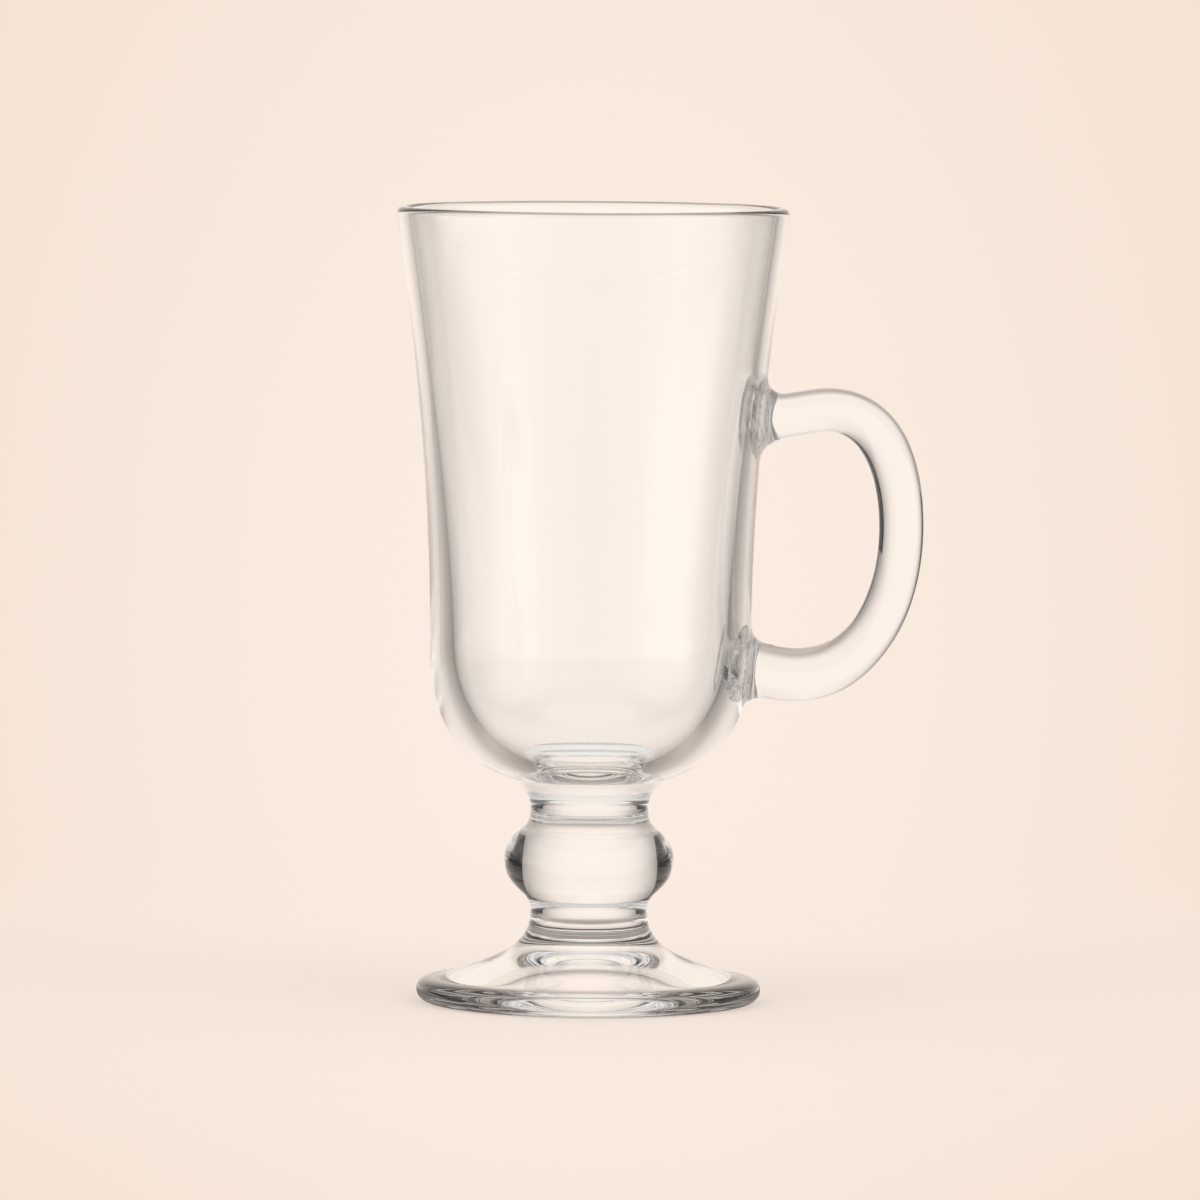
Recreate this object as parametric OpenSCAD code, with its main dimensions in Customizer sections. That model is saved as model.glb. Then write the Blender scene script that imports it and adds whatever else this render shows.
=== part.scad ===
// Irish coffee mug in clear glass: a tapering bowl on a short stem with a round knop, a domed foot and a D-shaped side handle.
// Six pieces of glass meet on their weld faces. Z is up, the resting plane is z = 0 and the handle reaches along +X.

/* [What to draw] */
// One piece, or all of them in place

/* [Bowl, outside] */
// Height of the whole mug
mug_h = 152.4; // [120:0.1:200]
// Diameter over the lip
rim_d = 75; // [60:0.1:110]
// Radius of the rounded lip
lip_r = 1.23; // [0.6:0.01:2]
// How far the wall leans in for each millimetre down from the lip
rim_lean = 0.149; // [0:0.001:0.3]
// Radius of the wall where it stands upright, low on the bowl
waist_r = 30.77; // [24:0.01:45]
// Height of that upright part of the wall
waist_z = 70; // [60:0.1:95]
// Radius of the weld under the bowl
seat_r = 14.5; // [12:0.1:20]
// Height of the weld under the bowl
seat_z = 42.8; // [36:0.1:52]
// Slope of the bowl's underside where it reaches the weld, in degrees
seat_slope = 19.1; // [5:0.1:35]
// How long the wall stays upright on its way to the underside
waist_reach = 15.9; // [8:0.1:24]
// How long the underside holds its slope
seat_reach = 12.6; // [4:0.1:16]

/* [Bowl, inside] */
// Lean of the inner wall at the lip for each millimetre down
inner_lean = 0.131; // [0:0.001:0.3]
// Thickness of the wall low on the bowl
wall_t = 4.55; // [3:0.05:7]
// Height where the inner wall turns in to the floor
inner_z = 69; // [58:0.1:80]
// How much further out the inner wall stands halfway down
inner_swell = 0.95; // [0:0.05:1.5]
// Height of the middle of the floor inside
floor_z = 45.3; // [44.5:0.1:55]
// How long the inner wall stays upright on its way to the floor
inner_reach = 18; // [8:0.1:24]
// How far out the floor stays flat
floor_reach = 15.6; // [8:0.1:20]

/* [Upper collar] */
// Radius of the narrowest place between the bowl and the knop
upper_neck_r = 11.3; // [8:0.1:14]
// Height of that narrowest place
upper_neck_z = 37.5; // [35:0.1:41]
// Radius of the weld between the collar and the knop
knop_top_r = 13.4; // [10:0.1:15]
// Height of that weld
knop_top_z = 33.1; // [31:0.1:35]
// Slope of the outline at that weld, in degrees from level
knop_top_slope = 37.5; // [20:0.1:60]
// How the fillet under the bowl leaves the bowl and reaches the neck
upper_fillet = [0.3, 2.9];
// How the neck widens down to the knop
upper_flare = [3.6, 0.9];

/* [Knop] */
// Diameter of the knop
knop_d = 32.5; // [26:0.1:40]
// Height of its widest place
knop_z = 27.45; // [24:0.05:31]
// Radius of the weld between the knop and the lower collar
knop_low_r = 12.4; // [10:0.05:15]
// Height of that weld
knop_low_z = 20.65; // [18:0.1:23]
// Slope of the outline at that weld, in degrees from level
knop_low_slope = 45.3; // [20:0.1:65]
// How the upper side of the knop rounds off, from the weld and to the widest place
knop_upper = [1.65, 2.4];
// How the lower side of the knop rounds off, from the widest place and to the weld
knop_lower = [3.85, 2.05];

/* [Lower collar] */
// Radius of the narrowest place between the knop and the foot
lower_neck_r = 11.2; // [8:0.1:14]
// Height of that narrowest place
lower_neck_z = 17.1; // [14.5:0.1:19]
// Radius of the weld between the collar and the foot
foot_top_r = 12.3; // [11.5:0.05:15]
// Height of that weld
foot_top_z = 13.15; // [11:0.1:14]
// Slope of the outline at that weld, in degrees from level
foot_top_slope = 58.5; // [40:0.1:75]
// How the underside of the knop runs in to the neck
lower_fillet = [0.8, 1.85];
// How the neck widens down to the foot
lower_flare = [1.5, 1.33];

/* [Foot] */
// Diameter of the foot
foot_d = 65.9; // [55:0.1:85]
// Radius where the foot's dome starts to flatten
dome_r = 17.45; // [15:0.1:22]
// Height of the dome there
dome_z = 9; // [7.5:0.1:11]
// Slope of the dome there, in degrees
dome_slope = 25.7; // [15:0.1:35]
// Radius where the dome turns over to the rounded edge
edge_r = 28.8; // [25:0.1:32]
// Height of the foot there
edge_z = 4.8; // [4:0.05:7]
// Slope of the dome there, in degrees
edge_slope = 15.4; // [5:0.1:25]
// Height of the widest place of the foot's edge
edge_mid_z = 2.4; // [1.5:0.1:4]
// Outer radius of the ring the mug stands on
stand_r = 29.8; // [26:0.1:33]
// Width of that ring
stand_w = 3.6; // [1:0.1:6]
// How high the underside is hollowed out in the middle
hollow_h = 7; // [0.5:0.1:9]
// How the hollow's curve leaves the ring and reaches the middle
hollow_reach = [12, 11];
// How the foot's neck spreads in to the dome
dome_upper = [2.0, 2.6];
// How the dome flattens towards the edge
dome_lower = [2.3, 2.65];
// How the upper side of the edge rounds off
edge_upper = [0.8, 2.9];
// How the lower side of the edge rounds off
edge_lower = [1.4, 1.7];

/* [Handle] */
// Height of the upper arm's middle at the bowl
arm_top_z = 112.9; // [95:0.1:125]
// Rise of the upper arm where it leaves the bowl, in degrees
arm_top_rise = -10; // [-20:1:25]
// Highest point of the upper arm's middle line, as distance from the mug's axis and height
crest = [45.4, 113.9];
// Outermost point of the handle's middle line
side = [59.25, 91.5];
// Lowest point of the handle's middle line
sag = [39.1, 63.2];
// Height of the lower arm's middle at the bowl
arm_low_z = 65; // [55:0.1:75]
// Fall of the lower arm where it leaves the bowl, in degrees
arm_low_fall = 9.5; // [-10:0.5:30]
// Curve reaches before the crest and after it
crest_reach = [4.4, 9.1];
// Curve reaches above the outermost point and below it
side_reach = [12.9, 15.1];
// Curve reaches before the lowest point and after it
sag_reach = [12.9, 3.8];
// Curve reach of the upper arm at the bowl
arm_top_reach = 6.2; // [2:0.1:8]
// Curve reach of the lower arm at the bowl
arm_low_reach = 3.8; // [2:0.1:8]
// Thickness of the handle at the crest, the upper bend, the side, the lower bend and the lowest point
thick = [8.5, 8.9, 8.6, 8.7, 10.4];
// Width of the handle at the same five places
wide = [9.8, 9.3, 9, 9.4, 10.6];
// How much the upper weld spreads on its outer side, on its inner side and to each side
weld_top = [3.4, 4.4, 4];
// How far out from the bowl's wall it reaches on those three sides
weld_top_len = [3, 6, 2.65];
// How much the lower weld spreads on its outer side, on its inner side and to each side
weld_low = [3.1, 4.6, 3.6];
// How far out from the bowl's wall it reaches on those three sides
weld_low_len = [4.4, 3.4, 2.1];
// How round the welds' hollow curve is on the outer and inner side and on each flank: 1 is a straight slope, 2 a circle
weld_round = [2, 1.3]; // [1:0.05:3]
// How square the handle's inner face is: 2 is an ellipse
inner_square = 2.1; // [2:0.05:3.5]
// How square the handle's outer face is: 2 is an ellipse
outer_square = 2.9; // [2:0.05:3.5]
// How deep the arms' middle lines start inside the bowl's wall
root_depth = 2.4; // [1.5:0.1:3.5]

/* [Hidden] */
$fn = 120;
// steps of each curve of an outline
steps = 12;
// steps of the long curves of the wall
wall_steps = 24;
// steps of the handle along each of its four curves, and points of one section
arm_steps = [30, 16, 20, 28];
ring_points = 28;
level = 0;
straight_down = -90;
straight_up = 90;
inward = 180;
glass = [0.78, 0.86, 0.88, 0.45];
lip_mid = [rim_d/2 - lip_r, mug_h - lip_r];
inner_rim = [rim_d/2 - 2*lip_r, mug_h - lip_r];
lean_angle = atan(rim_lean);
inner_low = [waist_r - wall_t, inner_z];

// a unit step at an angle above level
function heading(a) = [cos(a), sin(a)];
// a point of the cubic curve through four controls
function cubic(p, q, r, s, t) =
    pow(1 - t, 3)*p + 3*pow(1 - t, 2)*t*q + 3*(1 - t)*t*t*r + pow(t, 3)*s;
// the curve that leaves p at one angle and arrives at q at another, without its first point
function bend(p, leave, q, arrive, reach, n) =
    [for (i = [1:n]) cubic(p, p + reach[0]*heading(leave), q - reach[1]*heading(arrive), q, i/n)];
// an arc around a middle, from one angle to another
function arc(mid, r, from, to, n) = [for (i = [0:n]) mid + r*heading(from + (to - from)*i/n)];

seat = [seat_r, seat_z];
upper_neck = [upper_neck_r, upper_neck_z];
knop_top = [knop_top_r, knop_top_z];
knop_wide = [knop_d/2, knop_z];
knop_low = [knop_low_r, knop_low_z];
lower_neck = [lower_neck_r, lower_neck_z];
foot_top = [foot_top_r, foot_top_z];
dome = [dome_r, dome_z];
edge = [edge_r, edge_z];
edge_mid = [foot_d/2, edge_mid_z];
stand = [stand_r, 0];

// the outside of the bowl, from the top of the lip down to the weld
lip = arc(lip_mid, lip_r, straight_up, -lean_angle, steps);
lip_end = lip[steps];
wall_drop = (lip_end[1] - waist_z)/3;
bowl_outside = concat(
    lip,
    bend(lip_end, straight_down - lean_angle, [waist_r, waist_z], straight_down,
        [wall_drop/cos(lean_angle), wall_drop], wall_steps),
    bend([waist_r, waist_z], straight_down, seat, inward + seat_slope, [waist_reach, seat_reach], wall_steps));
// the inside of the bowl, from the middle of the floor up to the lip
inner_drop = (inner_rim[1] - inner_z)/3;
inner_low_angle = straight_up - atan(inner_swell/inner_drop);
bowl_inside = concat(
    [[0, floor_z]],
    bend([0, floor_z], level, inner_low, inner_low_angle, [floor_reach, inner_reach], wall_steps),
    bend(inner_low, inner_low_angle, inner_rim, straight_up - atan(inner_lean),
        [inner_drop, inner_drop], wall_steps),
    arc(lip_mid, lip_r, inward, straight_up, steps));

module turn(points) {
    rotate_extrude() polygon(points);
}

module bowl() color(glass) {
    turn(concat(bowl_outside, [[0, seat_z]], bowl_inside));
}

module upper_collar() color(glass) {
    turn(concat([[0, seat_z], seat],
        bend(seat, inward + seat_slope, upper_neck, straight_down, upper_fillet, steps),
        bend(upper_neck, straight_down, knop_top, -knop_top_slope, upper_flare, steps),
        [[0, knop_top_z]]));
}

module knop() color(glass) {
    turn(concat([[0, knop_top_z], knop_top],
        bend(knop_top, -knop_top_slope, knop_wide, straight_down, knop_upper, steps),
        bend(knop_wide, straight_down, knop_low, inward + knop_low_slope, knop_lower, steps),
        [[0, knop_low_z]]));
}

module lower_collar() color(glass) {
    turn(concat([[0, knop_low_z], knop_low],
        bend(knop_low, inward + knop_low_slope, lower_neck, straight_down, lower_fillet, steps),
        bend(lower_neck, straight_down, foot_top, -foot_top_slope, lower_flare, steps),
        [[0, foot_top_z]]));
}

module foot() color(glass) {
    hollow_r = stand_r - stand_w;
    turn(concat([[0, foot_top_z], foot_top],
        bend(foot_top, -foot_top_slope, dome, -dome_slope, dome_upper, steps),
        bend(dome, -dome_slope, edge, -edge_slope, dome_lower, steps),
        bend(edge, -edge_slope, edge_mid, straight_down, edge_upper, steps),
        bend(edge_mid, straight_down, stand, inward, edge_lower, steps),
        [[hollow_r, 0]],
        bend([hollow_r, 0], inward - atan(hollow_h/hollow_r), [0, hollow_h], inward,
            hollow_reach, wall_steps)));
}

// The handle: a rounded section carried along four curves that join smoothly.
// the bowl's radius at a height, read from its outline
function bowl_r(z) = lookup(z, [for (p = [for (i = [len(bowl_outside) - 1:-1:steps]) bowl_outside[i]]) [p[1], p[0]]]);
root_top = [bowl_r(arm_top_z) - root_depth, arm_top_z];
root_low = [bowl_r(arm_low_z) - root_depth, arm_low_z];
arm_line = concat(
    [root_top],
    bend(root_top, arm_top_rise, crest, level, [arm_top_reach, crest_reach[0]], arm_steps[0]),
    bend(crest, level, side, straight_down, [crest_reach[1], side_reach[0]], arm_steps[1]),
    bend(side, straight_down, sag, inward, [side_reach[1], sag_reach[0]], arm_steps[2]),
    bend(sag, inward, root_low, inward - arm_low_fall, [sag_reach[1], arm_low_reach], arm_steps[3]));
last = len(arm_line) - 1;
// station numbers of the crest, the upper bend, the side, the lower bend and the lowest point
side_at = arm_steps[0] + arm_steps[1];
marks = [arm_steps[0], side_at - arm_steps[1]/2, side_at, side_at + arm_steps[2]/2, side_at + arm_steps[2]];
// a size that eases from one of its five named values to the next along the stations
function eased(u) = u*u*(3 - 2*u);
function along(v, i, k = 0) =
    i <= marks[0] ? v[0]
    : i >= marks[4] ? v[4]
    : i > marks[k + 1] ? along(v, i, k + 1)
    : v[k] + (v[k + 1] - v[k])*eased((i - marks[k])/(marks[k + 1] - marks[k]));
// a hollow curve that falls from 1 at the wall to 0 where the weld ends
function hollow_curve(off, n) = let (left = min(max(1 - off, 0), 1)) 1 - pow(1 - pow(left, n), 1/n);
// direction of the middle line at a station, from the steps on both sides of it, the shorter one counting more
function unit(v) = v/norm(v);
function run(i) =
    i == 0 ? unit(arm_line[1] - arm_line[0])
    : i == last ? unit(arm_line[last] - arm_line[last - 1])
    : let (on = arm_line[i + 1] - arm_line[i], back = arm_line[i] - arm_line[i - 1])
        unit(unit(on)*norm(back) + unit(back)*norm(on));
function power(c, n) = sign(c)*pow(abs(c), 2/n);
function ring(i) = let (
        p = arm_line[i], d = run(i), out = [-d[1], d[0]],
        grown = p[1] > side[1] ? weld_top : weld_low,
        reach = p[1] > side[1] ? weld_top_len : weld_low_len)
    [for (k = [0:ring_points - 1]) let (
        a = 360*k/ring_points, c = cos(a), s = sin(a), face = s > 0 ? 0 : 1,
        n = s > 0 ? outer_square : inner_square,
        across = power(c, n)*along(wide, i)/2, up = power(s, n)*along(thick, i)/2,
        most = grown[2]*c*c + grown[face]*s*s,
        full = p + out*(up + most*s),
        off = norm([full[0], across + most*c]) - bowl_r(full[1]),
        add = most*hollow_curve(off/(reach[2]*c*c + reach[face]*s*s), weld_round[1]*c*c + weld_round[0]*s*s),
        q = p + out*(up + add*s))
        [q[0], -across - add*c, q[1]]];

module handle_bar() {
    polyhedron(
        points = [for (i = [0:last]) each ring(i)],
        faces = concat(
            [[for (k = [0:ring_points - 1]) k]],
            [for (i = [0:last - 1], k = [0:ring_points - 1]) let (
                a = i*ring_points + k, b = i*ring_points + (k + 1)%ring_points)
                [a, a + ring_points, b + ring_points, b]],
            [[for (k = [ring_points - 1:-1:0]) last*ring_points + k]]));
}

module handle() color(glass) {
    difference() {
        handle_bar();
        turn(concat(bowl_outside, [[0, seat_z], [0, mug_h]]));
    }
}

bowl();
upper_collar();
knop();
lower_collar();
foot();
handle();
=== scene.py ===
import bpy
import bmesh
import math
from mathutils import Euler, Matrix, Vector


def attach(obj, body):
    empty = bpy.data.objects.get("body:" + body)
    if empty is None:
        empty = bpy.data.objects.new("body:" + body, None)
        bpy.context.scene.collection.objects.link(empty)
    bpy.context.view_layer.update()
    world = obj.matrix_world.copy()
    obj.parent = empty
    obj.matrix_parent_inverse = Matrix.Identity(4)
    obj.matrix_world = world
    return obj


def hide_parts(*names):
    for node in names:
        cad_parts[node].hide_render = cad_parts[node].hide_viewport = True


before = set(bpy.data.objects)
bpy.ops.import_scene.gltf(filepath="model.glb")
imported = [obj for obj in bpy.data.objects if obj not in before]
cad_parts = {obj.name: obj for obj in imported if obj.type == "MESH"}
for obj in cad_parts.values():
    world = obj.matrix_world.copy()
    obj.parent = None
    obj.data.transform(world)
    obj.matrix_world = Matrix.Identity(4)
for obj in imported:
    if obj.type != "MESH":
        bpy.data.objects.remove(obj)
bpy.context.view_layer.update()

MM = 0.001
MERGE_DIST, LEVEL_DIST = 1e-6, 1e-7
ROUND_STEPS, CURVE_STEPS, WALL_STEPS = 224, 18, 60
WELD_SLOT = 1
UP, DOWN, LEVEL, INWARD = 90, -90, 0, 180


# Curves of an outline, in millimetres from the axis and above the table

def heading(angle):
    """A step of one millimetre at an angle above level."""
    return Vector((math.cos(math.radians(angle)), math.sin(math.radians(angle))))


def cubic(a, b, c, d, t):
    return (1 - t) ** 3 * a + 3 * (1 - t) ** 2 * t * b + 3 * (1 - t) * t * t * c + t ** 3 * d


def bend(start, leave, end, arrive, reach, steps=CURVE_STEPS):
    """The curve from start to end that leaves and arrives at the given angles, without its first point."""
    a, d = Vector(start), Vector(end)
    b, c = a + reach[0] * heading(leave), d - reach[1] * heading(arrive)
    return [cubic(a, b, c, d, i / steps) for i in range(1, steps + 1)]


def arc(middle, radius, start, end, steps=CURVE_STEPS):
    return [Vector(middle) + radius * heading(start + (end - start) * i / steps) for i in range(steps + 1)]


def on_axis(z):
    return Vector((0, z))


# The bowl, with the sizes of the CAD source

MUG_H, RIM_R, LIP_R, RIM_LEAN = 152.4, 37.5, 1.23, 0.149
WAIST, SEAT, SEAT_SLOPE, BELLY_REACH = (30.77, 70), (14.5, 42.8), 19.1, (15.9, 12.6)
INNER_LEAN, WALL_T, INNER_Z, INNER_SWELL = 0.131, 4.55, 69, 0.95
FLOOR_Z, FLOOR_REACH = 45.3, (15.6, 18)

lean = math.degrees(math.atan(RIM_LEAN))
lip_middle = (RIM_R - LIP_R, MUG_H - LIP_R)
lip = arc(lip_middle, LIP_R, UP, -lean)
wall_drop = (lip[-1].y - WAIST[1]) / 3
wall_reach = (wall_drop / math.cos(math.radians(lean)), wall_drop)
bowl_outside = (
    lip
    + bend(lip[-1], DOWN - lean, WAIST, DOWN, wall_reach, WALL_STEPS)
    + bend(WAIST, DOWN, SEAT, INWARD + SEAT_SLOPE, BELLY_REACH, WALL_STEPS)
)
inner_rim = Vector((RIM_R - 2 * LIP_R, MUG_H - LIP_R))
inner_low = (WAIST[0] - WALL_T, INNER_Z)
inner_drop = (inner_rim.y - INNER_Z) / 3
inner_low_angle = UP - math.degrees(math.atan(INNER_SWELL / inner_drop))
inner_rim_angle = UP - math.degrees(math.atan(INNER_LEAN))
bowl_inside = (
    [on_axis(FLOOR_Z)]
    + bend(on_axis(FLOOR_Z), LEVEL, inner_low, inner_low_angle, FLOOR_REACH, WALL_STEPS)
    + bend(inner_low, inner_low_angle, inner_rim, inner_rim_angle, (inner_drop, inner_drop), WALL_STEPS)
    + arc(lip_middle, LIP_R, INWARD, UP)[1:-1]
)

# The stem: two collars with the knop between them

UPPER_NECK, UPPER_FILLET, UPPER_FLARE = (11.3, 37.5), (0.3, 2.9), (3.6, 0.9)
KNOP_TOP, KNOP_TOP_SLOPE, KNOP_UPPER = (13.4, 33.1), 37.5, (1.65, 2.4)
KNOP_WIDE, KNOP_STEPS = (16.25, 27.45), 28
KNOP_LOW, KNOP_LOW_SLOPE, KNOP_LOWER = (12.4, 20.65), 45.3, (3.85, 2.05)
LOWER_NECK, LOWER_FILLET, LOWER_FLARE = (11.2, 17.1), (0.8, 1.85), (1.5, 1.33)
FOOT_TOP, FOOT_TOP_SLOPE = (12.3, 13.15), 58.5

upper_collar_line = (
    [on_axis(SEAT[1]), Vector(SEAT)]
    + bend(SEAT, INWARD + SEAT_SLOPE, UPPER_NECK, DOWN, UPPER_FILLET)
    + bend(UPPER_NECK, DOWN, KNOP_TOP, -KNOP_TOP_SLOPE, UPPER_FLARE)
    + [on_axis(KNOP_TOP[1])]
)
knop_line = (
    [on_axis(KNOP_TOP[1]), Vector(KNOP_TOP)]
    + bend(KNOP_TOP, -KNOP_TOP_SLOPE, KNOP_WIDE, DOWN, KNOP_UPPER, KNOP_STEPS)
    + bend(KNOP_WIDE, DOWN, KNOP_LOW, INWARD + KNOP_LOW_SLOPE, KNOP_LOWER, KNOP_STEPS)
    + [on_axis(KNOP_LOW[1])]
)
lower_collar_line = (
    [on_axis(KNOP_LOW[1]), Vector(KNOP_LOW)]
    + bend(KNOP_LOW, INWARD + KNOP_LOW_SLOPE, LOWER_NECK, DOWN, LOWER_FILLET)
    + bend(LOWER_NECK, DOWN, FOOT_TOP, -FOOT_TOP_SLOPE, LOWER_FLARE)
    + [on_axis(FOOT_TOP[1])]
)

# The foot: a dome with a rounded edge, hollowed inside the ring that it stands on

DOME, DOME_SLOPE, DOME_UPPER, DOME_LOWER = (17.45, 9), 25.7, (2.0, 2.6), (2.3, 2.65)
EDGE, EDGE_SLOPE, EDGE_UPPER, EDGE_LOWER = (28.8, 4.8), 15.4, (0.8, 2.9), (1.4, 1.7)
EDGE_MID, EDGE_STEPS = (32.95, 2.4), 24
STAND, STAND_W, HOLLOW_H, HOLLOW_REACH, HOLLOW_STEPS = (29.8, 0), 3.6, 7, (12, 11), 40

hollow_r = STAND[0] - STAND_W
hollow_rise = math.degrees(math.atan(HOLLOW_H / hollow_r))
foot_line = (
    [on_axis(FOOT_TOP[1]), Vector(FOOT_TOP)]
    + bend(FOOT_TOP, -FOOT_TOP_SLOPE, DOME, -DOME_SLOPE, DOME_UPPER)
    + bend(DOME, -DOME_SLOPE, EDGE, -EDGE_SLOPE, DOME_LOWER, EDGE_STEPS)
    + bend(EDGE, -EDGE_SLOPE, EDGE_MID, DOWN, EDGE_UPPER, EDGE_STEPS)
    + bend(EDGE_MID, DOWN, STAND, INWARD, EDGE_LOWER)
    + [Vector((hollow_r, 0))]
    + bend((hollow_r, 0), INWARD - hollow_rise, on_axis(HOLLOW_H), INWARD, HOLLOW_REACH, HOLLOW_STEPS)
)


# Making meshes

def finish_mesh(bm, name, keep_normals=False):
    """Merge doubles, face everything outwards, and keep the line between glass and weld crisp."""
    bmesh.ops.remove_doubles(bm, verts=bm.verts, dist=MERGE_DIST)
    if not keep_normals:
        bmesh.ops.recalc_face_normals(bm, faces=bm.faces)
    for f in bm.faces:
        f.smooth = True
    for e in bm.edges:
        e.smooth = len({f.material_index for f in e.link_faces}) < 2
    mesh = bpy.data.meshes.new(name)
    bm.to_mesh(mesh)
    bm.free()
    return mesh


def spun(outline, welds=()):
    """A bmesh of a half outline spun round the axis; level faces at the weld heights get the weld's slot."""
    bm = bmesh.new()
    ring = [bm.verts.new((p.x * MM, 0, p.y * MM)) for p in outline]
    line = [bm.edges.new((a, b)) for a, b in zip(ring, ring[1:])]
    if outline[0].x > 0 or outline[-1].x > 0:
        line.append(bm.edges.new((ring[-1], ring[0])))
    bmesh.ops.spin(bm, geom=ring + line, cent=(0, 0, 0), axis=(0, 0, 1), dvec=(0, 0, 0),
                   angle=math.tau, steps=ROUND_STEPS, use_merge=True)
    bmesh.ops.remove_doubles(bm, verts=bm.verts, dist=MERGE_DIST)
    bmesh.ops.recalc_face_normals(bm, faces=bm.faces)
    for f in bm.faces:
        if any(all(abs(v.co.z - h * MM) < LEVEL_DIST for v in f.verts) for h in welds):
            f.material_index = WELD_SLOT
    return bm


def bmesh_of(mesh):
    bm = bmesh.new()
    bm.from_mesh(mesh)
    return bm


def placed(name, data, materials=()):
    piece = bpy.data.objects.new(name, data)
    bpy.context.scene.collection.objects.link(piece)
    for m in materials:
        piece.data.materials.append(m)
    return piece


# The handle: a rounded section carried along four curves, with both ends inside the wall of the bowl

ARM_TOP, ARM_TOP_RISE, ARM_TOP_REACH = 112.9, -10, 6.2
ARM_LOW, ARM_LOW_FALL, ARM_LOW_REACH = 65, 9.5, 3.8
CREST, CREST_REACH = (45.4, 113.9), (4.4, 9.1)
SIDE, SIDE_REACH = (59.25, 91.5), (12.9, 15.1)
SAG, SAG_REACH = (39.1, 63.2), (12.9, 3.8)
ROOT_DEPTH = 2.4
THICK = (8.5, 8.9, 8.6, 8.7, 10.4)
WIDE = (9.8, 9.3, 9, 9.4, 10.6)
WELD_TOP, WELD_TOP_LEN = (3.4, 4.4, 4), (3, 6, 2.65)
WELD_LOW, WELD_LOW_LEN = (3.1, 4.6, 3.6), (4.4, 3.4, 2.1)
WELD_ROUND = (2, 1.3)
OUTER_SQUARE, INNER_SQUARE = 2.9, 2.1
ARM_STEPS = (90, 32, 40, 90)
SECTION_POINTS = 64

wall_up = [(p.y, p.x) for p in reversed(bowl_outside[CURVE_STEPS:])]


def between(x, points):
    """The value at x on straight stretches through the points."""
    if x <= points[0][0]:
        return points[0][1]
    for (x0, y0), (x1, y1) in zip(points, points[1:]):
        if x <= x1:
            return y0 + (y1 - y0) * (x - x0) / (x1 - x0)
    return points[-1][1]


def eased(x, points):
    """As between, but the value leaves and reaches each point level."""
    for (x0, y0), (x1, y1) in zip(points, points[1:]):
        if x0 < x < x1:
            share = (x - x0) / (x1 - x0)
            return y0 + (y1 - y0) * share * share * (3 - 2 * share)
    return between(x, points)


def arm_line():
    """The middle line of the bar, from the upper root round to the lower one."""
    top, low = (Vector((between(z, wall_up) - ROOT_DEPTH, z)) for z in (ARM_TOP, ARM_LOW))
    return (
        [top]
        + bend(top, ARM_TOP_RISE, CREST, LEVEL, (ARM_TOP_REACH, CREST_REACH[0]), ARM_STEPS[0])
        + bend(CREST, LEVEL, SIDE, DOWN, (CREST_REACH[1], SIDE_REACH[0]), ARM_STEPS[1])
        + bend(SIDE, DOWN, SAG, INWARD, (SIDE_REACH[1], SAG_REACH[0]), ARM_STEPS[2])
        + bend(SAG, INWARD, low, INWARD - ARM_LOW_FALL, (SAG_REACH[1], ARM_LOW_REACH), ARM_STEPS[3])
    )


def weld_adds(middle, out, across, up, c, s):
    """How far the weld's hollow curve lifts one point of the section, by its distance from the bowl."""
    grown, reach = (WELD_TOP, WELD_TOP_LEN) if middle.y > SIDE[1] else (WELD_LOW, WELD_LOW_LEN)
    flank, face, k = c * c, s * s, 0 if s > 0 else 1
    most = grown[2] * flank + grown[k] * face
    full = middle + out * (up + most * s)
    off = math.hypot(full.x, across + most * c) - between(full.y, wall_up)
    left = min(max(1 - off / (reach[2] * flank + reach[k] * face), 0), 1)
    curve = WELD_ROUND[1] * flank + WELD_ROUND[0] * face
    return most * (1 - (1 - left ** curve) ** (1 / curve))


def handle_bar():
    """A bmesh of the whole bar, closed at both ends."""
    side_at = ARM_STEPS[0] + ARM_STEPS[1]
    marks = (ARM_STEPS[0], side_at - ARM_STEPS[1] / 2, side_at,
             side_at + ARM_STEPS[2] / 2, side_at + ARM_STEPS[2])
    line = arm_line()
    bm = bmesh.new()
    last_ring = None
    for i, p in enumerate(line):
        on, back = line[min(i + 1, len(line) - 1)] - p, p - line[max(i - 1, 0)]
        run = (on.normalized() * (back.length or 1) + back.normalized() * (on.length or 1)).normalized()
        out = Vector((-run.y, run.x))
        half_t = eased(i, list(zip(marks, THICK))) / 2
        half_w = eased(i, list(zip(marks, WIDE))) / 2
        made = bmesh.ops.create_circle(bm, cap_ends=False, radius=1, segments=SECTION_POINTS)["verts"]
        for v in made:
            c, s = v.co.x, v.co.y
            square = OUTER_SQUARE if s > 0 else INNER_SQUARE
            across = math.copysign(abs(c) ** (2 / square), c) * half_w
            up = math.copysign(abs(s) ** (2 / square), s) * half_t
            add = weld_adds(p, out, across, up, c, s)
            v.co.x, v.co.y = (across + add * c) * MM, (up + add * s) * MM
        place = Matrix((
            (0, out.x, run.x, p.x * MM),
            (-1, 0, 0, 0),
            (0, out.y, run.y, p.y * MM),
            (0, 0, 0, 1)))
        bmesh.ops.transform(bm, matrix=place, verts=made)
        ring = list({e for v in made for e in v.link_edges})
        if last_ring:
            bmesh.ops.bridge_loops(bm, edges=last_ring + ring)
        last_ring = ring
    ends = [e for e in bm.edges if len(e.link_faces) == 1]
    bmesh.ops.holes_fill(bm, edges=ends, sides=0)
    bmesh.ops.recalc_face_normals(bm, faces=bm.faces)
    return bm


# Node trees

def fill(tree, made, inputs):
    """Link or set the named or numbered inputs of a node."""
    for name, value in inputs.items():
        if isinstance(value, bpy.types.NodeSocket):
            tree.links.new(value, made.inputs[name])
        else:
            made.inputs[name].default_value = value
    return made


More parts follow.
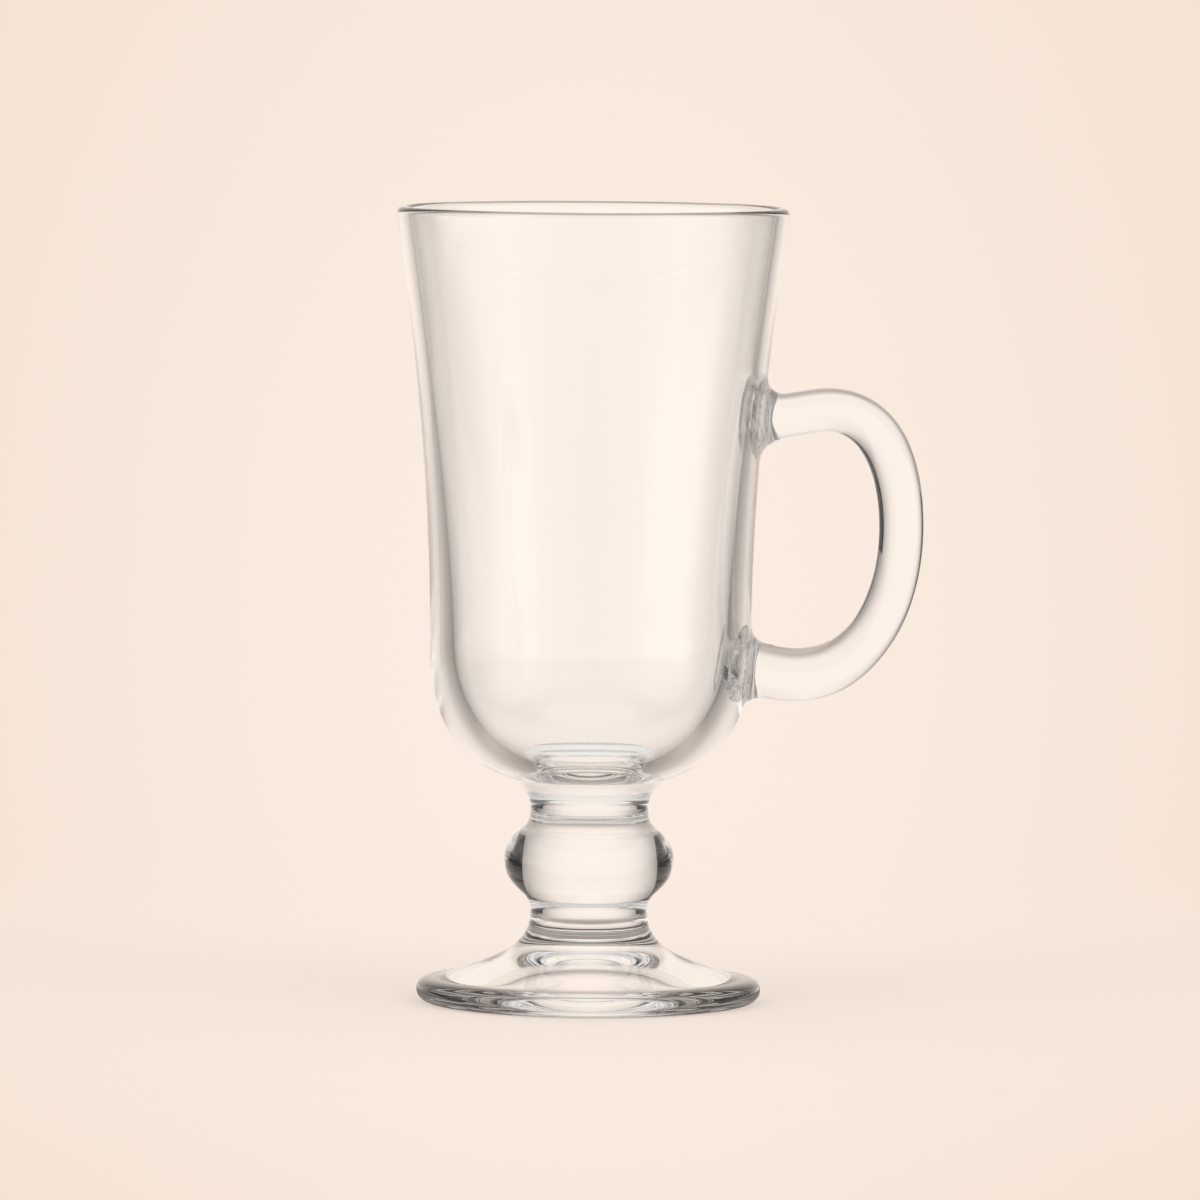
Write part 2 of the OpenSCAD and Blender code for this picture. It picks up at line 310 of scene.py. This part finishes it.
def node(tree, kind, inputs=None, **settings):
    """A new node with its settings made and its inputs filled."""
    made = tree.nodes.new(kind)
    for name, value in settings.items():
        setattr(made, name, value)
    return fill(tree, made, inputs or {})


def maths(tree, operation, *values):
    return node(tree, "ShaderNodeMath", dict(enumerate(values)), operation=operation).outputs[0]


def mixed(tree, share, a, b):
    """Colour a, turning into colour b as the share goes to 1."""
    made = node(tree, "ShaderNodeMix", {"Factor": share, "A": a, "B": b}, data_type="RGBA")
    return made.outputs["Result"]


def mixed_shader(tree, share, a, b):
    return node(tree, "ShaderNodeMixShader", {"Fac": share, 1: a, 2: b}).outputs["Shader"]


def glow(tree, color):
    return node(tree, "ShaderNodeEmission", {"Color": color}).outputs["Emission"]


def see_through(tree):
    return node(tree, "ShaderNodeBsdfTransparent").outputs["BSDF"]


def ramp(tree, share, stops):
    """A colour that runs through the stops, each a share and a colour."""
    made = node(tree, "ShaderNodeValToRGB", {"Fac": share})
    elements = made.color_ramp.elements
    while len(elements) < len(stops):
        elements.new(0.5)
    for element, (position, color) in zip(elements, stops):
        element.position = position
        element.color = (*color, 1)
    return made.outputs["Color"]


def dimmed(color, strength):
    return tuple(strength * c for c in color)


def new_material(name):
    """A material with its node tree and its Principled BSDF."""
    m = bpy.data.materials.new(name)
    m.use_nodes = True
    return m, m.node_tree, m.node_tree.nodes["Principled BSDF"]


def bare_material(name):
    """A material with its node tree, for another shader."""
    m, tree, bsdf = new_material(name)
    tree.nodes.remove(bsdf)
    return m, tree


def shown(m, shader):
    fill(m.node_tree, m.node_tree.nodes["Material Output"], {"Surface": shader})
    return m


# The glass

CLEAR_TINT, IOR = (0.985, 0.992, 0.988), 1.52
RIPPLE_DETAIL, RIPPLE_ROUGH = 1.5, 0.4
WEAR_SIZE, WEAR_DETAIL, WEAR_FROM, WEAR_TO = 900, 3, 0.58, 0.78


def fire_polish_group():
    """The skin of fire-polished glass: slow ripples, a faint haze and fine wear from washing and wiping."""
    g = bpy.data.node_groups.new("Fire polish", "ShaderNodeTree")
    for name, kind, value in (
            ("Vector", "NodeSocketVector", (0, 0, 0)),
            ("Ripple size", "NodeSocketFloat", 40),
            ("Haze", "NodeSocketFloat", 0.01),
            ("Tint", "NodeSocketColor", (0.95, 0.97, 0.96, 1))):
        g.interface.new_socket(name, in_out="INPUT", socket_type=kind).default_value = value
    for name, kind in (
            ("Color", "NodeSocketColor"), ("Roughness", "NodeSocketFloat"), ("Height", "NodeSocketFloat")):
        g.interface.new_socket(name, in_out="OUTPUT", socket_type=kind)
    given = node(g, "NodeGroupInput").outputs
    ripple = node(g, "ShaderNodeTexNoise", {
        "Vector": given["Vector"], "Scale": given["Ripple size"],
        "Detail": RIPPLE_DETAIL, "Roughness": RIPPLE_ROUGH}).outputs["Fac"]
    wear = node(g, "ShaderNodeTexNoise", {
        "Vector": given["Vector"], "Scale": WEAR_SIZE, "Detail": WEAR_DETAIL}).outputs["Fac"]
    specks = node(g, "ShaderNodeMapRange", {"Value": wear, "From Min": WEAR_FROM, "From Max": WEAR_TO})
    node(g, "NodeGroupOutput", {
        "Color": mixed(g, ripple, (1, 1, 1, 1), given["Tint"]),
        "Roughness": maths(g, "MULTIPLY", specks.outputs["Result"], given["Haze"]),
        "Height": ripple})
    return g


def glass(name, ripple_size, haze, ripple_height, spread=(1, 1, 1)):
    """Clear glass in the fire-polished skin, its ripples squeezed by spread along each axis."""
    m, tree, bsdf = new_material(name)
    where = node(tree, "ShaderNodeTexCoord").outputs["Object"]
    ripples_at = node(tree, "ShaderNodeMapping", {"Vector": where, "Scale": spread}).outputs["Vector"]
    look = node(tree, "ShaderNodeGroup", {
        "Vector": ripples_at, "Ripple size": ripple_size, "Haze": haze, "Tint": (*CLEAR_TINT, 1)},
        node_tree=skin).outputs
    bump = node(tree, "ShaderNodeBump", {
        "Strength": 1, "Distance": ripple_height, "Height": look["Height"]}).outputs["Normal"]
    fill(tree, bsdf, {
        "Base Color": look["Color"], "Roughness": look["Roughness"], "Normal": bump,
        "Metallic": 0, "IOR": IOR, "Transmission Weight": 1})
    return m


def clear_weld():
    """Inside a weld the glass runs on, so nothing shows there."""
    m, tree = bare_material("Fused weld")
    return shown(m, see_through(tree))


skin = fire_polish_group()
weld = clear_weld()
bowl_glass = glass("Bowl glass", 34, 0.003, 0.00002, (1, 1, 0.5))
stem_glass = glass("Stem glass", 60, 0.003, 0.00001)
foot_glass = glass("Foot glass", 45, 0.004, 0.00001)
handle_glass = glass("Handle glass", 70, 0.003, 0.00002)


# The six pieces of glass

def all_weld(bm):
    for f in bm.faces:
        f.material_index = WELD_SLOT
    return bm


def slotted(mesh):
    """The mesh with both slots, so that a cut keeps them."""
    for m in (handle_glass, weld):
        mesh.materials.append(m)
    return mesh


def cut(mesh_a, mesh_b):
    """mesh_a with the space of mesh_b taken out; what mesh_b leaves behind keeps mesh_b's slots."""
    a, b = placed("cut_a", mesh_a), placed("cut_b", mesh_b)
    step = a.modifiers.new("cut", "BOOLEAN")
    step.operation, step.solver, step.object = "DIFFERENCE", "EXACT", b
    bpy.context.view_layer.update()
    made = bpy.data.meshes.new_from_object(a.evaluated_get(bpy.context.evaluated_depsgraph_get()))
    for o in (a, b):
        bpy.data.objects.remove(o)
    return made


def weld_patch(handle_cut):
    """The handle's two weld faces, turned round to face out of the bowl."""
    bm = bmesh_of(handle_cut)
    beside = [f for f in bm.faces if f.material_index != WELD_SLOT]
    bmesh.ops.delete(bm, geom=beside, context="FACES")
    bmesh.ops.reverse_faces(bm, faces=bm.faces)
    mesh = bpy.data.meshes.new("weld_patch")
    bm.to_mesh(mesh)
    bm.free()
    return mesh


def bowl_and_handle():
    """The meshes of the bowl and the handle, which have the same patch wherever they meet."""
    bar = handle_bar()
    cutter = slotted(finish_mesh(all_weld(bar.copy()), "bar_cutter", True))
    bar_mesh = slotted(finish_mesh(bar, "bar", True))
    block = all_weld(spun(bowl_outside + [on_axis(SEAT[1]), on_axis(MUG_H)]))
    handle_cut = cut(bar_mesh, slotted(finish_mesh(block, "bowl_block", True)))
    whole = spun(bowl_outside + [on_axis(SEAT[1])] + bowl_inside, (SEAT[1],))
    bowl = bmesh_of(cut(slotted(finish_mesh(whole, "bowl_whole", True)), cutter))

    above_seat = (SEAT[1] + 1) * MM
    pocket = [f for f in bowl.faces if f.material_index == WELD_SLOT and f.calc_center_median().z > above_seat]
    bmesh.ops.delete(bowl, geom=pocket, context="FACES")
    bowl.from_mesh(weld_patch(handle_cut))
    meshes = finish_mesh(bowl, "bowl_glass", True), finish_mesh(bmesh_of(handle_cut), "handle_glass", True)
    # clear also moves every face to the first slot, so the weld faces of these two pieces render as glass
    for mesh in meshes:
        mesh.materials.clear()
    return meshes


def turned(name, outline, *welds):
    return finish_mesh(spun(outline, welds), name + "_glass")


def print_check(name, mesh):
    bm = bmesh_of(mesh)
    open_edges = sum(len(e.link_faces) != 2 for e in bm.edges)
    volume = round(bm.calc_volume() / MM ** 3, 1)
    print("PIECE", name, len(mesh.polygons), "faces, open edges", open_edges, "volume mm3", volume)
    bm.free()


bowl_mesh, handle_mesh = bowl_and_handle()
for name, mesh, finish, slot in (
        ("bowl", bowl_mesh, bowl_glass, "bowl_glass"),
        ("upper_collar", turned("upper_collar", upper_collar_line, SEAT[1], KNOP_TOP[1]),
         stem_glass, "stem_glass"),
        ("knop", turned("knop", knop_line, KNOP_TOP[1], KNOP_LOW[1]), stem_glass, "stem_glass"),
        ("lower_collar", turned("lower_collar", lower_collar_line, KNOP_LOW[1], FOOT_TOP[1]),
         stem_glass, "stem_glass"),
        ("foot", turned("foot", foot_line, FOOT_TOP[1]), foot_glass, "foot_glass"),
        ("handle", handle_mesh, handle_glass, "handle_glass")):
    piece = placed("glass_" + name, mesh, (finish, weld))
    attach(piece, "root")
    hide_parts(name)
    print_check(name, mesh)


# Paper, air and lamps, in metres

PEACH = (0.9647, 0.8388, 0.7529)
MIDDLE = Vector((0, 0, 0.0754))
AIR_STRENGTH = 0.85
FLOOR_R, FLOOR_SIDES = 1.2, 96
# How bright the glow is that the glass sees in place of the paper, by distance from the middle of the foot: a
# painted bright middle, a painted dark shadow under the ring the foot stands on, and painted shade that fades
# outwards
PAINTED_FLOOR_LIGHT = ((0, 1.05), (0.012, 1), (0.02, 0.65), (0.0256, 0.55), (0.0262, 0.08), (0.031, 0.08),
               (0.032, 0.3), (0.055, 0.45), (0.1, 0.85))
FLOOR_LIT_R = PAINTED_FLOOR_LIGHT[-1][0]
# Two distances, and how far the floor has gone at each of them
FLOOR_GONE_FOR_CAMERA, FLOOR_GONE_FOR_GLASS = (0.04, 0.35, 0.52, 1), (0.05, 0.11, 0, 1)
SOFT_BOX_ASIDE, SOFT_BOX_FRONT, SOFT_BOX_UP, SOFT_BOX_SIZE, SOFT_BOX_WATTS = 1.3, -1.0, 1.5, 1.0, 6


def ray_is(tree, *names):
    """1 for the named kinds of ray, 0 for the rest."""
    path = node(tree, "ShaderNodeLightPath").outputs
    total = path[names[0]]
    for name in names[1:]:
        total = maths(tree, "MAXIMUM", total, path[name])
    return total


def by_distance(tree, near, far, at_near, at_far, kind="SMOOTHSTEP", height=1):
    """A value that eases from near the object's own middle to further out, along an oval of that height."""
    where = node(tree, "ShaderNodeTexCoord").outputs["Object"]
    oval = node(tree, "ShaderNodeVectorMath", {0: where, 1: (1, height, 1)}, operation="DIVIDE")
    away = node(tree, "ShaderNodeVectorMath", {0: oval.outputs["Vector"]}, operation="LENGTH")
    return node(tree, "ShaderNodeMapRange", {
        "Value": away.outputs["Value"], "From Min": near, "From Max": far,
        "To Min": at_near, "To Max": at_far}, interpolation_type=kind).outputs["Result"]


def studio_air():
    """Soft white light from all round, which shows as peach to the camera and in the glass."""
    world = bpy.data.worlds.new("Studio air")
    world.use_nodes = True
    tree = world.node_tree
    soft = fill(tree, tree.nodes["Background"], {"Color": (1, 1, 1, 1), "Strength": AIR_STRENGTH})
    seen = node(tree, "ShaderNodeBackground", {"Color": (*PEACH, 1)})
    looks = ray_is(tree, "Is Camera Ray", "Is Glossy Ray", "Is Transmission Ray")
    shader = mixed_shader(tree, looks, soft.outputs["Background"], seen.outputs["Background"])
    fill(tree, tree.nodes["World Output"], {"Surface": shader})
    return world


def floor_material():
    """Peach paper; near the mug the glass sees a glow with painted shade and a painted bright middle instead,
    further out the camera sees the backdrop instead, and the glass sees the light tent.
    """
    m, tree, paper = new_material("Peach paper floor")
    fill(tree, paper, {"Base Color": (*PEACH, 1), "Roughness": 1, "Specular IOR Level": 0})
    from_glass = ray_is(tree, "Is Glossy Ray", "Is Transmission Ray")
    painted_light_and_shade = ramp(tree, by_distance(tree, 0, FLOOR_LIT_R, 0, 1, "LINEAR"), [
        (radius / FLOOR_LIT_R, dimmed(PEACH, strength)) for radius, strength in PAINTED_FLOOR_LIGHT])
    # Painted light and shade: near the mug, glass rays see a glow that is bright in the middle and dark under
    # the ring the foot stands on, not the lit paper
    near = mixed_shader(tree, from_glass, paper.outputs["BSDF"], glow(tree, painted_light_and_shade))
    for_camera = maths(
        tree, "MULTIPLY", by_distance(tree, *FLOOR_GONE_FOR_CAMERA), ray_is(tree, "Is Camera Ray"))
    for_glass = maths(tree, "MULTIPLY", by_distance(tree, *FLOOR_GONE_FOR_GLASS), from_glass)
    gone = maths(tree, "MAXIMUM", for_camera, for_glass)
    return shown(m, mixed_shader(tree, gone, near, see_through(tree)))


def soft_box(name, x):
    """A square lamp that looks at the mug and shows neither in the glass nor through it."""
    data = bpy.data.lights.new(name, "AREA")
    data.shape, data.size, data.energy = "SQUARE", SOFT_BOX_SIZE, SOFT_BOX_WATTS
    o = placed(name, data)
    o.location = (x, SOFT_BOX_FRONT, SOFT_BOX_UP)
    o.rotation_euler = (MIDDLE - o.location).to_track_quat("-Z", "Y").to_euler()
    o.visible_glossy = False
    o.visible_transmission = False


bpy.context.scene.world = studio_air()
bm = bmesh.new()
bmesh.ops.create_circle(bm, cap_ends=True, radius=FLOOR_R, segments=FLOOR_SIDES)
floor = placed("floor", finish_mesh(bm, "floor"), (floor_material(),))
soft_box("soft box left", -SOFT_BOX_ASIDE)
soft_box("soft box right", SOFT_BOX_ASIDE)


# The camera, where the photograph was taken from, with its small turns in degrees

CAMERA_AT, LENS, SENSOR = (0, -2.1827, 0.2216), 343, 36
TURN_UP, TURN_LEFT, ROLL = 0.047, -0.046, 0.4

camera_data = bpy.data.cameras.new("camera")
camera_data.sensor_width = SENSOR
camera_data.lens = LENS
camera = placed("camera", camera_data)
camera.location = CAMERA_AT
look = (MIDDLE - camera.location).to_track_quat("-Z", "Y")
aim = Euler((math.radians(TURN_UP), math.radians(TURN_LEFT), 0)).to_quaternion()
roll = Euler((0, 0, math.radians(ROLL))).to_quaternion()
camera.rotation_euler = (look @ aim @ roll).to_euler()
bpy.context.scene.camera = camera


# The light tent round the mug, a glow that only the glass sees and that paints what the glass reflects and
# shows through it, in layers, each as bright as its stops say by the angle from straight behind

TENT_R, TENT_SIDES, TENT_RINGS, TENT_TURN = 1.1, 96, 48, 1
# Painted light and shade in the glass: the dark stretches at the sides, from about 42 to 76 degrees, are
# painted shade where flags would stand, and the bright ones from about 108 to 132 degrees are painted soft-box
# reflections
LOW_LIGHT = (
    (0, 1.03), (10, 1.02), (18, 0.96), (25, 0.82), (37, 0.52), (48, 0.34), (54, 0.14), (66, 0.12),
    (80, 0.4), (100, 0.8), (126, 0.95), (150, 0.75), (180, 0.5))
LEFT_LIGHT = (
    (0, 1.07), (10, 1.06), (18, 1.02), (25, 0.92), (32, 0.74), (37, 0.57), (41.8, 0.38), (42.2, 0.03),
    (56, 0.03), (70, 0.08), (76, 0.8), (88, 1.3), (108, 1.15), (112, 1.25), (132, 1.25), (136, 0.85),
    (180, 0.6))
RIGHT_LIGHT = (
    (0, 1.07), (10, 1.06), (18, 1), (25, 0.88), (32, 0.69), (37, 0.54), (41.8, 0.38), (42.2, 0.02),
    (56, 0.02), (76, 0.02), (84, 0.12), (94, 0.6), (108, 0.85), (112, 1.2), (132, 1.2), (136, 0.85),
    (180, 0.6))
UPPER_LIGHT = (
    (0, 1.07), (18, 0.95), (30, 0.65), (41.8, 0.3), (42.2, 0.03), (58, 0.08), (72, 0.35), (86, 0.65),
    (110, 0.85), (180, 0.75))
HIGH_LIGHT = ((0, 1), (24, 0.8), (34, 0.3), (42, 0.04), (94, 0.04), (112, 0.2), (135, 0.5), (180, 0.6))
TENT_PEACH, FRONT_WHITE, PEACH_UNTIL = (0.955, 0.852, 0.775), (1, 0.97, 0.95), 48
DEEP_SHADE, TOP_WHITE = (0.42, 0.36, 0.32), (0.92, 0.9, 0.88)
# The heights between which each layer takes over from the one under it, the first from the deep shade
LOW_FROM, LEVEL_FROM, UPPER_FROM = (-0.75, -0.4), (-0.152, -0.136), (0.14, 0.24)
HIGH_FROM, TOP_FROM = (0.66, 0.74), (0.92, 0.96)


def tent_material():
    """A glow with painted light and shade: bright peach behind the mug, painted dark bands at both sides in
    place of flags, painted soft-box reflections and soft light above and in front.
    """
    m, tree = bare_material("Light tent")
    where = node(tree, "ShaderNodeTexCoord").outputs["Object"]
    x, y, z = node(tree, "ShaderNodeSeparateXYZ", {"Vector": where}).outputs
    turn = maths(tree, "ADD", maths(tree, "ARCTAN2", x, y), math.radians(TENT_TURN))
    aside = node(tree, "ShaderNodeMapRange", {
        "Value": maths(tree, "ABSOLUTE", turn), "From Max": math.pi}).outputs["Result"]

    def around(light):
        return ramp(tree, aside, [
            (angle / 180, dimmed(TENT_PEACH if angle <= PEACH_UNTIL else FRONT_WHITE, strength))
            for angle, strength in light])

    level = mixed(tree, maths(tree, "GREATER_THAN", turn, 0), around(LEFT_LIGHT), around(RIGHT_LIGHT))
    light = (*DEEP_SHADE, 1)
    for (low, high), layer in (
            (LOW_FROM, around(LOW_LIGHT)), (LEVEL_FROM, level), (UPPER_FROM, around(UPPER_LIGHT)),
            (HIGH_FROM, around(HIGH_LIGHT)), (TOP_FROM, (*TOP_WHITE, 1))):
        lift = node(tree, "ShaderNodeMapRange", {
            "Value": z, "From Min": low, "From Max": high}, interpolation_type="SMOOTHSTEP")
        light = mixed(tree, lift.outputs["Result"], light, layer)
    return shown(m, glow(tree, light))


# The backdrop, a far paper that only the camera sees

SHADED_PEACH_EDGE, BACKDROP_HALF, BACKDROP_PAST = (0.905, 0.765, 0.66), 2, 1.0
EDGE_FADE, EDGE_FADE_HEIGHT = (0.02, 0.24, 0, 1), 1.5


def backdrop_material():
    """Glowing paper with painted shade, a little darker towards the corners of the picture."""
    m, tree = bare_material("Peach backdrop")
    # Painted shade: the glow darkens towards the edges and corners of the picture
    painted_falloff = by_distance(tree, *EDGE_FADE, height=EDGE_FADE_HEIGHT)
    return shown(m, glow(tree, mixed(tree, painted_falloff, (*PEACH, 1), (*SHADED_PEACH_EDGE, 1))))


def seen_by(o, **kinds):
    """Switch on only the named kinds of ray for a stage object."""
    for kind in ("camera", "diffuse", "glossy", "transmission", "shadow", "volume_scatter"):
        setattr(o, "visible_" + kind, kinds.get(kind, False))


def carried(o, place, turn):
    """Keep a stage object where it is as the camera sees it, whichever way the camera goes."""
    o.parent = camera
    o.matrix_parent_inverse = camera.matrix_world.inverted()
    o.location = place
    o.rotation_euler = turn


bpy.context.view_layer.update()
bm = bmesh.new()
bmesh.ops.create_uvsphere(bm, u_segments=TENT_SIDES, v_segments=TENT_RINGS, radius=TENT_R)
tent = placed("light_tent", finish_mesh(bm, "light_tent"), (tent_material(),))
seen_by(tent, glossy=True, transmission=True)
carried(tent, MIDDLE, (0, 0, 0))

bm = bmesh.new()
bmesh.ops.create_grid(bm, x_segments=1, y_segments=1, size=BACKDROP_HALF)
backdrop = placed("backdrop", finish_mesh(bm, "backdrop"), (backdrop_material(),))
seen_by(backdrop, camera=True)
away_from_camera = (MIDDLE - camera.location).normalized()
carried(backdrop, MIDDLE + BACKDROP_PAST * away_from_camera, camera.rotation_euler)


# A ray through the foot and the stem meets many faces of glass

BOUNCES = 32

scene = bpy.context.scene
scene.view_settings.view_transform = "Standard"
scene.cycles.max_bounces = BOUNCES
scene.cycles.glossy_bounces = BOUNCES
scene.cycles.transmission_bounces = BOUNCES
scene.cycles.transparent_max_bounces = BOUNCES
